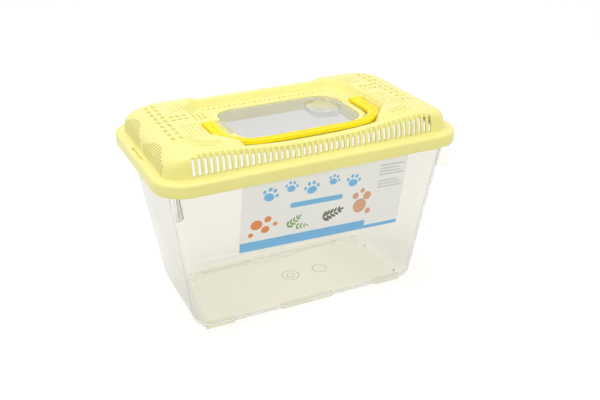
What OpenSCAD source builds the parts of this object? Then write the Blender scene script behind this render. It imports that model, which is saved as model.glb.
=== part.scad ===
// Small plastic keeper for insects and pets: clear tapered tank, ventilated lid,
// hinged feeding hatch and a folding carrying handle.
// X runs along the length, Y through the depth (front is -Y), Z up from the table.

/* [Tank] */
// Thickness of the tank's walls and floor
tank_wall = 1.6; // [1.2:0.1:2.4]
// Height of the tank's rim above the table
tank_height = 133; // [110:1:170]
// Length of the tank at its foot, outside
base_length = 186; // [160:1:190]
// Depth of the tank at its foot, outside
base_depth = 96; // [80:1:104]
// Corner radius of the tank at its foot, in plan
base_corner = 13; // [12.4:0.2:18]
// Radius of the edge between floor and walls
floor_edge = 12; // [6:0.5:12]
// Upright band at the top of the tank, below the rim
rim_band = 5; // [3:0.5:8]
// Height of the stacking feet
foot_height = 2.4; // [1:0.2:3]
// Width of each foot rail
foot_width = 4; // [3:0.5:6]
// How far the rib on each corner stands out past the rim
rib_reach = 4.2; // [3:0.1:4.2]
// Thickness of the corner ribs
rib_thickness = 1.6; // [1.2:0.1:2]
// Distance from the rim down to the foot of the corner ribs
rib_drop = 27; // [18:1:36]
// Direction of the corner ribs in plan, degrees from the long walls
rib_turn = 38.4; // [36:0.2:42]

/* [Lid] */
// Length of the lid over its skirt
lid_length = 236; // [220:1:250]
// Depth of the lid over its skirt
lid_depth = 138; // [130:1:150]
// Wall thickness of the lid
lid_wall = 1.6; // [1.2:0.1:2]
// Corner radius of the skirt in plan
skirt_corner = 22.8; // [18:0.2:28]
// How far the skirt reaches down over the rim
skirt_reach = 7.5; // [6:0.5:11]
// Clearance between the skirt and the tank's rim, each side
rim_gap = 0.8; // [0.5:0.1:1]
// Gap between the skirt and the rim at each end
end_gap = 7.7; // [7.4:0.1:8.4]
// Gap left under the lid where it sits on the rim
seat_gap = 0.1; // [0:0.05:0.3]
// Width of the flat ledge at the lid's two ends
end_ledge = 6.9; // [6.5:0.1:8]
// Width of the flat ledge along the lid's long sides
side_ledge = 9.6; // [8.4:0.1:10.4]
// Height of the raised end pads above the ledge
dome_height = 17; // [16:0.5:24]
// Depth of the handle recess below the end pads
recess_depth = 6.5; // [5.5:0.5:8]
// How far the ridge behind the recess lies below the end pads
ridge_drop = 1.8; // [1:0.2:3]
// Distance from the lid's middle to the front of that ridge
ridge_front = 46.5; // [46:0.5:48]
// How far the ledge slot in each end runs through the depth
latch_slot = 25; // [15:1:40]

/* [Vents] */
// Number of slots along each long side
side_slots = 44; // [20:1:44]
// Distance from one slot to the next
slot_pitch = 4.26; // [4:0.02:4.3]
// Width of each slot
slot_width = 1.9; // [1.2:0.1:2.4]
// Number of slots in each of the two groups on an end wall
end_slots = 10; // [4:1:10]

/* [Hatch] */
// Length of the hatch opening, along the lid
hatch_length = 98; // [80:1:98]
// Depth of the hatch opening
hatch_depth = 64; // [50:1:64]
// How far the opening's middle lies in front of the lid's middle
hatch_offset = 9.5; // [7:0.5:9.5]
// Thickness of the hatch pane
pane = 2; // [1.6:0.1:2.4]
// Clearance all round the pane
pane_gap = 0.4; // [0.3:0.1:0.6]
// Width of the step that the pane rests on
pane_seat = 1.6; // [1.2:0.1:2.4]
// Depth of the collar that hangs round the opening
collar_reach = 8; // [5:0.5:10]
// Length of the hinge barrel
hinge_length = 30; // [20:1:31]
// Radius of the hinge pins
hinge_pin = 0.9; // [0.7:0.1:1]
// Running clearance of the hinge pins in their ears
hinge_play = 0.06; // [0.04:0.01:0.1]
// Length of the finger well, along the lid
well_length = 27; // [20:1:30]
// Width of the finger well, through the depth
well_width = 32; // [24:1:36]
// Depth of the finger well in the pane
well_depth = 7; // [5:0.5:9]
// Wall of the finger well
well_wall = 1.4; // [1:0.1:2]

/* [Handle] */
// Width of each handle arm
arm_width = 9; // [7:0.5:10]
// Thickness of the handle
handle_thickness = 3.4; // [3:0.1:3.6]
// Width of the grip bar at its middle
grip_width = 7; // [5.5:0.5:8]
// Distance from the pivots to the grip's outer edge
handle_reach = 50.8; // [50.8:0.2:52]
// Size of the handle's rounded corners
handle_corner = 24; // [22:0.5:25]
// Gap between the folded handle and the lid around it
handle_gap = 0.6; // [0.5:0.1:0.9]
// Radius of the pivot pins
pivot_pin = 1.5; // [1.3:0.1:1.6]
// Running clearance of the pivot pins in their bores
pivot_play = 0.06; // [0.04:0.01:0.1]
// Length of each pivot pin beyond its arm
pivot_length = 3.4; // [2.6:0.2:4]

/* [Label] */
// Width of the label
label_width = 130; // [90:1:132]
// Height of the label
label_height = 60; // [40:1:60]
// Distance from the tank's rim down to the middle of the label's top edge
label_drop = 6.6; // [6:0.2:20]
// How far the label's middle lies to the right of the tank's middle
label_offset = 3.4; // [-20:0.2:20]
// Thickness of the label
label_skin = 0.25; // [0.2:0.05:0.4]
// How far the label is turned on the wall, degrees clockwise
label_turn = 2.2; // [0:0.1:2.4]

/* [Hidden] */
// Thickness of the thin plates that the hulls span, and of small overlaps
eps = 0.05;
// Height of the ledge's top and of the skirt's lower edge
ledge_top = tank_height + seat_gap + lid_wall;
skirt_foot = tank_height - skirt_reach;
// Half sizes of the tank at its rim
rim_x = lid_length / 2 - lid_wall - end_gap;
rim_y = lid_depth / 2 - lid_wall - rim_gap;
rim_corner = skirt_corner - lid_wall - rim_gap - 2;
taper_top = tank_height - rim_band;
// Radius at the outer foot of each corner rib
rib_round = 2.5;
// The rounded floor edge sweeps this far before the straight wall starts
edge_sweep = 80;
edge_step = edge_sweep / 5;
wall_foot_y = base_depth / 2 - floor_edge * (1 - sin(edge_sweep));
wall_foot_z = foot_height + floor_edge * (1 - cos(edge_sweep));
wall_tilt = atan((rim_y - wall_foot_y) / (taper_top - wall_foot_z));
// Half sizes and levels of the dome
dome_x = lid_length / 2 - end_ledge;
dome_y = lid_depth / 2 - side_ledge;
dome_corner = 15;
pad_top = ledge_top + dome_height;
recess_floor = pad_top - recess_depth;
// The handle's place: arms, pivots and grip
axis_z = recess_floor + handle_gap + handle_thickness / 2;
hinge_margin = 6.4;
island_x = hatch_length / 2 + hinge_margin;
arm_inner = island_x + handle_gap;
arm_outer = arm_inner + arm_width;
recess_x = arm_outer + handle_gap;
// The recess narrows by this much from its waist to the lid's long sides
recess_waist = 34;
recess_taper = 15.5;
// The hatch's place
hatch_front = -hatch_offset - hatch_depth / 2;
hatch_back = hatch_front + hatch_depth;
island_top = recess_floor + 2.6;
island_corner = 21;
pane_top = island_top - 0.4;
hinge_x = -hatch_length / 2 - 3.5;
hinge_z = island_top - 1.7;
hinge_barrel = 1.5;
hinge_leaf = 8;
// Radius of the trough that the barrel turns in
trough = hinge_barrel + 0.35;
hinge_y = -hatch_offset - 1;
// The finger well's sides, kept clear of the pane's edge
well_right = hatch_length / 2 - 3.5;
well_left = well_right - well_length;
well_front = -hatch_offset - 5.5;
well_back = well_front + well_width;

// Points of a quarter arc about a centre, from angle a by 90 degrees
function arc(cx, cy, r, a, n = 8) =
    [for (i = [0 : n]) [cx + r * cos(a + i * 90 / n), cy + r * sin(a + i * 90 / n)]];

// Outline of a rounded rectangle from two corners, with one radius at each end
function rounded(x0, x1, y0, y1, rl, rr) = concat(
    arc(x1 - rr, y1 - rr, rr, 0), arc(x0 + rl, y1 - rl, rl, 90),
    arc(x0 + rl, y0 + rl, rl, 180), arc(x1 - rr, y0 + rr, rr, 270));

// Thin rounded plate centred on Z, used as a section of a hull
module section(hx, hy, r, z) {
    translate([0, 0, z]) linear_extrude(eps) polygon(rounded(-hx, hx, -hy, hy, r, r));
}

// Straight rounded block centred on Z
module block(hx, hy, r, z0, z1) {
    translate([0, 0, z0]) linear_extrude(z1 - z0) polygon(rounded(-hx, hx, -hy, hy, r, r));
}

// ---- Tank ----

// Tapered body of the tank, drawn in from its outside by t
module tank_body(t, top) {
    hull() {
        for (a = [0 : edge_step : edge_sweep]) {
            inset = t + (floor_edge - t) * (1 - sin(a));
            section(base_length / 2 - inset, base_depth / 2 - inset, base_corner - inset,
                foot_height + t + (floor_edge - t) * (1 - cos(a)));
        }
        section(rim_x - t, rim_y - t, rim_corner - t, taper_top);
        section(rim_x - t, rim_y - t, rim_corner - t, top);
    }
}

// Upright rib on each corner, which keeps nested tanks from jamming
module corner_ribs() {
    low = tank_height - rib_drop;
    high = tank_height - 1;
    reach = rim_corner + rib_reach;
    for (x = [-1, 1])
        for (y = [-1, 1])
            translate([x * (rim_x - rim_corner), y * (rim_y - rim_corner), 0])
                rotate([90, 0, atan2(y * sin(rib_turn), x * cos(rib_turn))])
                    linear_extrude(rib_thickness, center = true)
                        polygon(concat([[0, high], [0, low]],
                            arc(reach - rib_round, low + rib_round, rib_round, 270), [[reach, high]]));
}

// Foot rails along the front and the back edge
module tank_feet() {
    rail_y = base_depth / 2 - floor_edge;
    for (side = [-1, 1])
        for (rail = [[-0.39, 24], [0, 46], [0.39, 24]])
            translate([rail[0] * base_length, side * rail_y, 0])
                linear_extrude(foot_height + tank_wall / 2)
                    polygon(rounded(-rail[1] / 2, rail[1] / 2, -foot_width / 2, foot_width / 2, 1.9, 1.9));
}

module tank() {
    color([0.9, 0.92, 0.9, 0.35]) difference() {
        union() {
            tank_body(0, tank_height - eps);
            corner_ribs();
            tank_feet();
        }
        tank_body(tank_wall, tank_height + 1);
    }
}

// ---- Label ----

// Printed label on the front wall, hung from the skirt's level
module label() {
    color([0.95, 0.96, 0.97])
        translate([0, -wall_foot_y, wall_foot_z])
            rotate([90 + wall_tilt, 0, 0])
                translate([label_offset,
                    (tank_height - label_drop - wall_foot_z) / cos(wall_tilt) - label_height / 2, 0])
                    rotate(-label_turn)
                        linear_extrude(label_skin)
                            polygon(rounded(-label_width / 2, label_width / 2,
                                -label_height / 2, label_height / 2, 1.5, 1.5));
}

// ---- Lid ----

// Dome of the lid, drawn in from its outside by t
module dome(t, low) {
    hull() {
        section(dome_x - t, dome_y - t, dome_corner - t, low);
        section(dome_x - 1.2 - t, dome_y - 0.3 - t, dome_corner - t, pad_top - 8);
        section(dome_x - 3.4 - t, dome_y - 0.9 - t, dome_corner - t + 1, pad_top - 4.6);
        section(dome_x - 7.2 - t, dome_y - 1.9 - t, dome_corner - t + 2, pad_top - 2.2);
        section(dome_x - 13, dome_y - 5, dome_corner, pad_top - t - 0.7);
        section(dome_x - 26, dome_y - 9, dome_corner, pad_top - t - eps);
    }
}

// Space that the handle folds into, drawn out by t: open to the front, closed by a ridge behind
module recess(t) {
    waist = recess_waist + t / 3;
    edge = recess_x - recess_taper + t;
    back_edge = recess_x - recess_taper / 2 + t;
    far = lid_depth / 2;
    near = dome_y + 0.6;
    translate([0, 0, recess_floor - t])
        linear_extrude(recess_depth + t + 5)
            polygon([[recess_x + t, -waist], [recess_x + t, waist], [back_edge, ridge_front + t],
                [-back_edge, ridge_front + t], [-recess_x - t, waist], [-recess_x - t, -waist],
                [-edge, -near], [-edge, -far], [edge, -far], [edge, -near]]);
    translate([-back_edge, ridge_front + t - 1, pad_top - ridge_drop - t])
        cube([2 * back_edge, far, ridge_drop + t + 5]);
}

// Outline of the pane's place, drawn in by t
module hatch_outline(t, z0, z1) {
    translate([0, 0, z0]) linear_extrude(z1 - z0)
        polygon(rounded(-hatch_length / 2 + t, hatch_length / 2 - t,
            hatch_front + t, hatch_back - t, 13 - t, 18 - t));
}

// Raised rim round the hatch and the collar below it
module island() {
    translate([0, 0, recess_floor - eps]) linear_extrude(island_top - recess_floor + eps)
        polygon(rounded(-island_x, hatch_length / 2 + 5, hatch_front - 1.6, hatch_back + 3.4,
            island_corner, island_corner));
    hatch_outline(pane_seat - lid_wall - 0.3, recess_floor - collar_reach, recess_floor);
}

// Hatch opening: the pane's rebate, the way through and the hinge's trough
module hatch_cut() {
    hatch_outline(0, pane_top - pane, island_top + 1);
    hatch_outline(pane_seat, recess_floor - collar_reach - 1, island_top + 1);
    translate([hinge_x - trough, hinge_y - hinge_length / 2 - 0.3, hinge_z - 0.9])
        cube([hinge_leaf, hinge_length + 0.6, 5]);
    translate([hinge_x, hinge_y - hinge_length / 2 - 0.3, hinge_z])
        rotate([-90, 0, 0])
            cylinder(h = hinge_length + 0.6, r = trough, $fn = 48);
    for (side = [-1, 1])
        translate([hinge_x, hinge_y, hinge_z])
            rotate([-90 * side, 0, 0])
                cylinder(h = hinge_length / 2 + 3.2, r = hinge_pin + hinge_play, $fn = 32);
}

// How high a slot at distance x from the middle reaches
function slot_top(x) = recess_floor - lid_wall - 0.2
    + (dome_height - recess_depth - 6.2) * (1 - cos(min(180, max(0, abs(x) - 25) * 2.7))) / 2;

// Slots along both long sides
module side_vents() {
    for (side = [0, 180])
        rotate(side)
            for (i = [0 : side_slots - 1]) {
                x = (i - (side_slots - 1) / 2) * slot_pitch;
                translate([x - slot_width / 2, -lid_depth / 2 - 1, ledge_top + 1.6])
                    cube([slot_width, side_ledge + 8, slot_top(x) - ledge_top - 1.6]);
            }
}

// Two groups of slots on each end wall
module end_vents() {
    for (end = [0, 180])
        rotate(end)
            for (side = [-1, 1])
                for (i = [0 : end_slots - 1])
                    translate([dome_x - 9, side * (6 + i * slot_pitch) - slot_width / 2, ledge_top + 2])
                        cube([14, slot_width, dome_height - 8]);
}

// Holes through the end pads: two columns and two rows of each
module pad_vents() {
    for (end = [-1, 1])
        for (column = [88, 93])
            for (i = [-4.5 : 4.5])
                translate([end * column - 1.2, i * 9 - 1.5, pad_top - 6])
                    cube([2.4, 3, 8]);
    for (end = [-1, 1])
        for (x = [73, 78, 83])
            for (y = [-4.5, 4.5])
                translate([end * x - 1.2, y - 1.5, pad_top - 4])
                    cube([2.4, 3, 6]);
}

// Row of small holes behind the hatch
module row_vents() {
    for (i = [-12 : 12])
        translate([i * slot_pitch - 0.9, hatch_back + 14, recess_floor - 3])
            cube([1.8, 3, 4]);
}

// Block inside each end pad that holds a pivot bore
module pivot_blocks() {
    for (end = [-1, 1])
        translate([end * (recess_x + (pivot_length + 1.4) / 2), 0, (recess_floor + pad_top) / 2 - 1.5])
            cube([pivot_length + 1.4, 12, recess_depth], center = true);
}

module pivot_bores() {
    for (end = [-1, 1])
        translate([end * (recess_x - 1), 0, axis_z])
            rotate([0, 90 * end, 0])
                cylinder(h = pivot_length + 1.2, r = pivot_pin + pivot_play, $fn = 32);
}

module lid() {
    color([0.98, 0.95, 0.64]) difference() {
        union() {
            difference() {
                union() {
                    block(lid_length / 2, lid_depth / 2, skirt_corner, skirt_foot, ledge_top);
                    difference() {
                        dome(0, ledge_top - lid_wall / 2);
                        recess(0);
                    }
                }
                block(lid_length / 2 - lid_wall, lid_depth / 2 - lid_wall, skirt_corner - lid_wall,
                    skirt_foot - 1, ledge_top - lid_wall);
                difference() {
                    dome(lid_wall, ledge_top - lid_wall - 1);
                    recess(lid_wall);
                }
            }
            island();
            pivot_blocks();
        }
        hatch_cut();
        side_vents();
        end_vents();
        pad_vents();
        row_vents();
        pivot_bores();
        for (end = [-1, 1])
            translate([end * (lid_length / 2 - 4.2) - 1, -latch_slot / 2, ledge_top - lid_wall - 1])
                cube([2, latch_slot, lid_wall + 2]);
    }
}

// ---- Hatch ----

// Finger well pressed down into the pane
module well(t) {
    translate([0, 0, pane_top - well_depth + t]) linear_extrude(well_depth)
        polygon(rounded(well_left + t, well_right - t, well_front + t, well_back - t, 12 - t, 8 - t));
}

module hatch() {
    color([0.88, 0.89, 0.88, 0.45]) difference() {
        union() {
            hatch_outline(pane_gap, pane_top - pane + 0.1, pane_top);
            well(0);
            // Leaf and barrel of the hinge
            translate([hinge_x, hinge_y - hinge_length / 2, pane_top - pane + 0.1])
                cube([hinge_leaf, hinge_length, pane - 0.1]);
            translate([hinge_x, hinge_y - hinge_length / 2, hinge_z])
                rotate([-90, 0, 0])
                    cylinder(h = hinge_length, r = hinge_barrel, $fn = 32);
            translate([hinge_x, hinge_y - hinge_length / 2 - 2.6, hinge_z])
                rotate([-90, 0, 0])
                    cylinder(h = hinge_length + 5.2, r = hinge_pin, $fn = 32);
        }
        well(well_wall);
    }
}

// ---- Handle ----

// Corner of the handle in plan, as shares of the corner's size from the arm and from the grip
outer_corner = [[0, 1], [0.07, 0.78], [0.21, 0.56], [0.5, 0.3], [0.79, 0.14], [1.21, 0.06], [1.9, 0.02]];
inner_corner = [[1, 0], [0.54, 0.06], [0.25, 0.26], [0.05, 0.53], [0, 0.7]];

// Half outline of the handle in plan, between the right arm's end and the middle
function handle_half(outer) = outer
    ? concat([[arm_outer, 0]],
        [for (p = outer_corner) [arm_outer - p[0] * handle_corner, -handle_reach + p[1] * handle_corner]],
        [[0, -handle_reach]])
    : concat([[0, -handle_reach + grip_width]],
        [for (p = inner_corner)
            [arm_inner - p[0] * handle_corner, -handle_reach + grip_width + p[1] * handle_corner]],
        [[arm_inner, 0]]);

function flip(points) = [for (i = [len(points) - 1 : -1 : 0]) [-points[i][0], points[i][1]]];

module handle() {
    color([1, 0.92, 0.2]) {
        translate([0, 0, axis_z - handle_thickness / 2])
            linear_extrude(handle_thickness)
                polygon(concat(handle_half(true), flip(handle_half(true)),
                    flip(handle_half(false)), handle_half(false)));
        for (end = [-1, 1]) {
            translate([end * (arm_inner + arm_width / 2), 0, axis_z])
                rotate([0, 90, 0])
                    cylinder(h = arm_width, r = handle_thickness / 2 + 0.3, center = true, $fn = 32);
            translate([end * (arm_outer - 1), 0, axis_z])
                rotate([0, 90 * end, 0])
                    cylinder(h = pivot_length + 1, r = pivot_pin, $fn = 32);
        }
    }
}

tank();
label();
lid();
hatch();
handle();
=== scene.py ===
import math

import bmesh
import bpy
from mathutils import Matrix, Vector


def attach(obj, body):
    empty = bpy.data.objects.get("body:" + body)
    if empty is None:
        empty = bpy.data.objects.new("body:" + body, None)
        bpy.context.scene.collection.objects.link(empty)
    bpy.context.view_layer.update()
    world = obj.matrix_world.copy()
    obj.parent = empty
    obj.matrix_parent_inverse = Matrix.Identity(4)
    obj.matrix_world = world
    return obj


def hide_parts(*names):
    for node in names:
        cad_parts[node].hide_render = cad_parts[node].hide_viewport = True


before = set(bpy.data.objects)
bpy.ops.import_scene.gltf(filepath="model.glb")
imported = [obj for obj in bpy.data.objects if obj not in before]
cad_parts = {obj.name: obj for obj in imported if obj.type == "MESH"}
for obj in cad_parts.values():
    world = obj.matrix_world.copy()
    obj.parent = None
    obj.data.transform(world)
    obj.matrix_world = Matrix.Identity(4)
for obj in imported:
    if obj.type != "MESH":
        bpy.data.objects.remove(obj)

scene = bpy.context.scene
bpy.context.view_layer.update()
MM = 0.001

# ---- Sizes, in millimetres, as the frame has them ----
TANK_WALL = 1.6
TANK_HEIGHT = 133.0
BASE_HALF = (93.0, 48.0)
BASE_CORNER = 13.0
FLOOR_EDGE = 12.0
EDGE_SWEEP = 80
EDGE_STEPS = 8
RIM_HALF = (108.7, 66.6)
RIM_CORNER = 18.4
RIM_BAND = 5.0
RIB_REACH = 4.2
RIB_THICKNESS = 1.6
RIB_FOOT = 106.0
RIB_TURN = math.radians(38.4)
FOOT_HEIGHT = 2.4
FOOT_OUT = 0.5
FOOT_HALF_WIDTH = 2.3
FOOT_CORNER = 1.9
FOOT_BEVEL = 0.35
FOOT_RAILS = ((-72.54, 24), (0, 46), (72.54, 24))
FLOOR_TOP = FOOT_HEIGHT + TANK_WALL
FLOOR_DOTS = ((-20, 37), (-59, 36.5), (-75, 17), (63, 36.5), (82.5, 18), (83.5, -30))
# Middle and radius of each gate ring in the floor, which is drawn only as painted shade
GATE_RINGS = ((2.8, 1.1, 7.2), (2.8, 1.1, 3.4), (29.5, 0.6, 6.0))
RING_HALF_WIDTH = 0.4
# Axis, start and end of the soft painted shade along the floor's back and left edges
FLOOR_SHADE_LINES = (("Y", 31.5, 36.5), ("X", -79.5, -84.0))

LID_HALF = (118.0, 69.0)
LID_WALL = 1.6
LID_STEP = 1.6
SKIRT_CORNER = 22.8
SKIRT_FOOT = 125.5
LEDGE_TOP = 134.7
LEDGE_ROUND = 2.0
WALL_FOOT = LEDGE_TOP + 1.3
DOME_HALF = (111.1, 59.4)
DOME_CORNER = 15.0
PAD_TOP = 151.7
RECESS_DEPTH = 6.5
RECESS_FLOOR = PAD_TOP - RECESS_DEPTH
RECESS_X = 65.6
RECESS_GROWTH = 1.2
RIDGE_FRONT = 46.5
RIDGE_DROP = 1.8

SLOT_PITCH = 4.26
SLOT_COUNT = 44
SLOT_WIDTH = 2.3
SLOT_HEAD = 3.0
HEAD_STEPS = 4
HEAD_DEPTH = 0.85
END_SLOTS = 12
LATCH_SLOT = 25
HOLE_DEPTH = 1.0
DIMPLE_DEPTH = 0.5
DIMPLE_SIZE = 1.5
DIMPLE_PITCH = (3.0, 3.4)
GROOVE_RADII = (19.0, 22.5, 26.0)
GROOVE_WIDTH = 1.3
GROOVE_DEPTH = 0.7
CLEAR_ABOVE = 2

HATCH_HALF = 49.0
HATCH_FRONT = -41.5
HATCH_BACK = 22.5
HATCH_CORNERS = (13.0, 18.0)
PANE = 2.0
PANE_GAP = 0.4
PANE_SEAT = 1.6
LIP_TOP = RECESS_FLOOR + 2.6
LIP_ENDS = (-55.4, 54)
LIP_CORNER = 21
PANE_TOP = LIP_TOP - 0.4
PANE_UNDER = PANE_TOP - PANE + 0.1
COLLAR_REACH = 8.0
HINGE = (-52.5, -10.5, 146.1)
HINGE_LENGTH = 30.0
HINGE_BARREL = 1.5
HINGE_PIN = 0.9
HINGE_PIN_LENGTH = 2.6
LEAF_LENGTH = 8
WELL = (18.5, 45.5, -15.0, 17.0)
WELL_DEPTH = 7.0
WELL_WALL = 1.4
WELL_CORNERS = (12, 8)

HANDLE_AXIS_Z = 147.5
HANDLE_THICK = 3.4
ARM_OUTER = 65.0
ARM_INNER = 56.0
HANDLE_REACH = 50.8
GRIP_WIDTH = 7.0
GRIP_GROOVE = 0.45
PIVOT_PIN = 1.5
PIVOT_PLAY = 0.12
PIVOT_LENGTH = 3.4

LABEL_SIZE = (130.0, 60.0)
LABEL_SHIFT = 3.4
LABEL_DROP = 6.6
LABEL_TURN = math.radians(2.2)
LABEL_SKIN = 0.25
PRINT_LIFT = 0.02


# ---- Mesh helpers ----

def rounded_ring(bm, x0, x1, y0, y1, left, right, z, segments=8):
    """Edges of a closed rounded rectangle: a plane whose corners are bevelled."""
    known = set(bm.edges)
    plane = bmesh.ops.create_grid(bm, x_segments=1, y_segments=1, size=1)["verts"]
    radius_at = {}
    for corner in plane:
        on_left = corner.co.x < 0
        corner.co = ((x0 if on_left else x1), (y0 if corner.co.y < 0 else y1), z)
        radius_at[corner] = left if on_left else right
    if abs(left - right) < 1e-6:
        bmesh.ops.bevel(bm, geom=plane, offset=left, offset_type="OFFSET", segments=segments,
                        profile=0.5, affect="VERTICES", material=-1)
    else:
        for side_radius in (left, right):
            some = [v for v in plane if v.is_valid and abs(radius_at[v] - side_radius) < 1e-6]
            bmesh.ops.bevel(bm, geom=some, offset=side_radius, offset_type="OFFSET",
                            segments=segments, profile=0.5, affect="VERTICES", material=-1)
    edges = [e for e in bm.edges if e not in known]
    faces = list({f for e in edges for f in e.link_faces})
    bmesh.ops.delete(bm, geom=faces, context="FACES_ONLY")
    return edges


def centred_ring(bm, half_x, half_y, radius, z, segments=8):
    return rounded_ring(bm, -half_x, half_x, -half_y, half_y, radius, radius, z, segments)


def loft(bm, rings):
    """Bridges each ring to the next one and closes both ends."""
    for lower, upper in zip(rings, rings[1:]):
        bmesh.ops.bridge_loops(bm, edges=lower + upper)
    for end in (rings[0], rings[-1]):
        bmesh.ops.edgeloop_fill(bm, edges=end)


def tidy_normals(bm):
    bmesh.ops.remove_doubles(bm, verts=bm.verts[:], dist=0.0005)
    bmesh.ops.recalc_face_normals(bm, faces=bm.faces[:])


def slice_up(bm, places, axis):
    """Cuts the whole mesh with planes across one axis, to give it rows of faces."""
    normal = Vector((axis == "x", axis == "y", axis == "z"))
    for place in places:
        bmesh.ops.bisect_plane(bm, geom=bm.verts[:] + bm.edges[:] + bm.faces[:],
                               dist=0.0001, plane_co=normal * place, plane_no=normal)


def box_into(bm, x0, x1, y0, y1, z0, z1):
    size = Matrix.Diagonal((x1 - x0, y1 - y0, z1 - z0, 1))
    place = Matrix.Translation(((x0 + x1) / 2, (y0 + y1) / 2, (z0 + z1) / 2))
    bmesh.ops.create_cube(bm, size=1, matrix=place @ size)


def rod_into(bm, start, axis, length, radius, segments=24):
    """Closed round rod from a point along +x, -x or +y."""
    turn = Vector((0, 0, 1)).rotation_difference(Vector(axis)).to_matrix().to_4x4()
    middle = Vector(start) + Vector(axis) * length / 2
    bmesh.ops.create_cone(bm, cap_ends=True, segments=segments, radius1=radius, radius2=radius,
                          depth=length, matrix=Matrix.Translation(middle) @ turn)


def raise_up(bm, faces, height):
    """Extrudes faces and moves their copies up."""
    lifted = bmesh.ops.extrude_face_region(bm, geom=faces)["geom"]
    upper = [part for part in lifted if isinstance(part, bmesh.types.BMVert)]
    bmesh.ops.translate(bm, vec=(0, 0, height), verts=upper)


def mesh_object(name, bm):
    """Makes an object from a bmesh in millimetres, at the origin and in metres."""
    bmesh.ops.scale(bm, vec=(MM, MM, MM), verts=bm.verts[:])
    mesh = bpy.data.meshes.new(name)
    bm.to_mesh(mesh)
    bm.free()
    piece = bpy.data.objects.new(name, mesh)
    scene.collection.objects.link(piece)
    return piece


def bake_modifiers(piece):
    """Replaces a piece's mesh by what its modifiers make of it."""
    bpy.context.view_layer.update()
    graph = bpy.context.evaluated_depsgraph_get()
    made = bpy.data.meshes.new_from_object(piece.evaluated_get(graph))
    piece.modifiers.clear()
    old = piece.data
    piece.data = made
    bpy.data.meshes.remove(old)
    made.name = piece.name


def combine(piece, tool, operation):
    """Joins a tool to a piece or cuts it out of it, and removes the tool."""
    step = piece.modifiers.new("combine", "BOOLEAN")
    step.operation = operation
    step.solver = "EXACT"
    step.object = tool
    bake_modifiers(piece)
    bpy.data.objects.remove(tool)


def solid(name, draw):
    """Object made of what a function draws in a new bmesh."""
    bm = bmesh.new()
    draw(bm)
    return mesh_object(name, bm)


def lofted(name, rings_of):
    """Closed solid through the rings that a function draws."""
    def draw(bm):
        loft(bm, rings_of(bm))
        tidy_normals(bm)
    return solid(name, draw)


def soften(piece, sharp_angle=35):
    """Smooth shading, with creases kept where faces meet at more than an angle."""
    mesh = piece.data
    for face in mesh.polygons:
        face.use_smooth = True
    mesh.set_sharp_from_angle(angle=math.radians(sharp_angle))


def round_edges(piece, width, angle=40, segments=2):
    edge = piece.modifiers.new("edges", "BEVEL")
    edge.width = width * MM
    edge.segments = segments
    edge.limit_method = "ANGLE"
    edge.angle_limit = math.radians(angle)
    bake_modifiers(piece)


def finish_piece(piece, body, material, nodes=()):
    piece.data.materials.clear()
    piece.data.materials.append(material)
    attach(piece, body)
    if nodes:
        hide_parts(*nodes)
    return piece


def smoothstep(low, high, value):
    t = min(1.0, max(0.0, (value - low) / (high - low)))
    return t * t * (3 - 2 * t)


# ---- Materials ----

def new_material(name):
    material = bpy.data.materials.new(name)
    material.use_nodes = True
    tree = material.node_tree
    return material, tree, tree.nodes["Principled BSDF"]


def add(tree, kind, **values):
    node = tree.nodes.new(kind)
    for key, value in values.items():
        setattr(node, key, value)
    return node


def feed(tree, value, socket):
    """Links another node's output to a socket, or sets the socket to a number or a colour."""
    if isinstance(value, bpy.types.NodeSocket):
        tree.links.new(value, socket)
    elif isinstance(value, (int, float)):
        socket.default_value = value
    else:
        socket.default_value = (*value, 1)


def calculate(tree, operation, *values):
    """Output of a Math node on other nodes' outputs or on numbers."""
    node = add(tree, "ShaderNodeMath", operation=operation)
    for value, socket in zip(values, node.inputs):
        feed(tree, value, socket)
    return node.outputs[0]


def ramp(tree, value, start, end, low=0.0, high=1.0, smooth=False):
    """Output that goes from low to high while a value goes from start to end."""
    node = add(tree, "ShaderNodeMapRange", interpolation_type="SMOOTHSTEP" if smooth else "LINEAR")
    names = ("Value", "From Min", "From Max", "To Min", "To Max")
    for name, given in zip(names, (value, start, end, low, high)):
        feed(tree, given, node.inputs[name])
    return node.outputs[0]


def blend(tree, factor, first, second):
    """Colour that goes from the first to the second with a factor."""
    node = add(tree, "ShaderNodeMix", data_type="RGBA")
    for name, given in (("Factor", factor), ("A", first), ("B", second)):
        feed(tree, given, node.inputs[name])
    return node.outputs["Result"]


def build_moulded_group():
    """Shared surface of moulded plastic: a fine grain, slow waves and a faint mottling."""
    group = bpy.data.node_groups.new("moulded_surface", "ShaderNodeTree")
    face = group.interface
    for name, default in (("Grain Scale", 900.0), ("Grain Depth", 0.1), ("Wave Scale", 30.0),
                          ("Wave Depth", 0.2), ("Low Roughness", 0.25), ("High Roughness", 0.4)):
        socket = face.new_socket(name, in_out="INPUT", socket_type="NodeSocketFloat")
        socket.default_value = default
    for name in ("Height", "Roughness", "Mottle"):
        face.new_socket(name, in_out="OUTPUT", socket_type="NodeSocketFloat")
    given = add(group, "NodeGroupInput").outputs
    result = add(group, "NodeGroupOutput").inputs
    place = add(group, "ShaderNodeTexCoord").outputs["Object"]
    noises = []
    for scale, detail in (("Grain Scale", 2), ("Wave Scale", 1)):
        noise = add(group, "ShaderNodeTexNoise")
        noise.inputs["Detail"].default_value = detail
        feed(group, place, noise.inputs["Vector"])
        feed(group, given[scale], noise.inputs["Scale"])
        noises.append(noise.outputs["Fac"])
    grain, wave = noises
    fine = calculate(group, "MULTIPLY", grain, given["Grain Depth"])
    slow = calculate(group, "MULTIPLY", wave, given["Wave Depth"])
    gloss = ramp(group, wave, 0.3, 0.7, given["Low Roughness"], given["High Roughness"])
    feed(group, calculate(group, "ADD", fine, slow), result["Height"])
    feed(group, gloss, result["Roughness"])
    feed(group, wave, result["Mottle"])
    return group


MOULDED = build_moulded_group()


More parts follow.
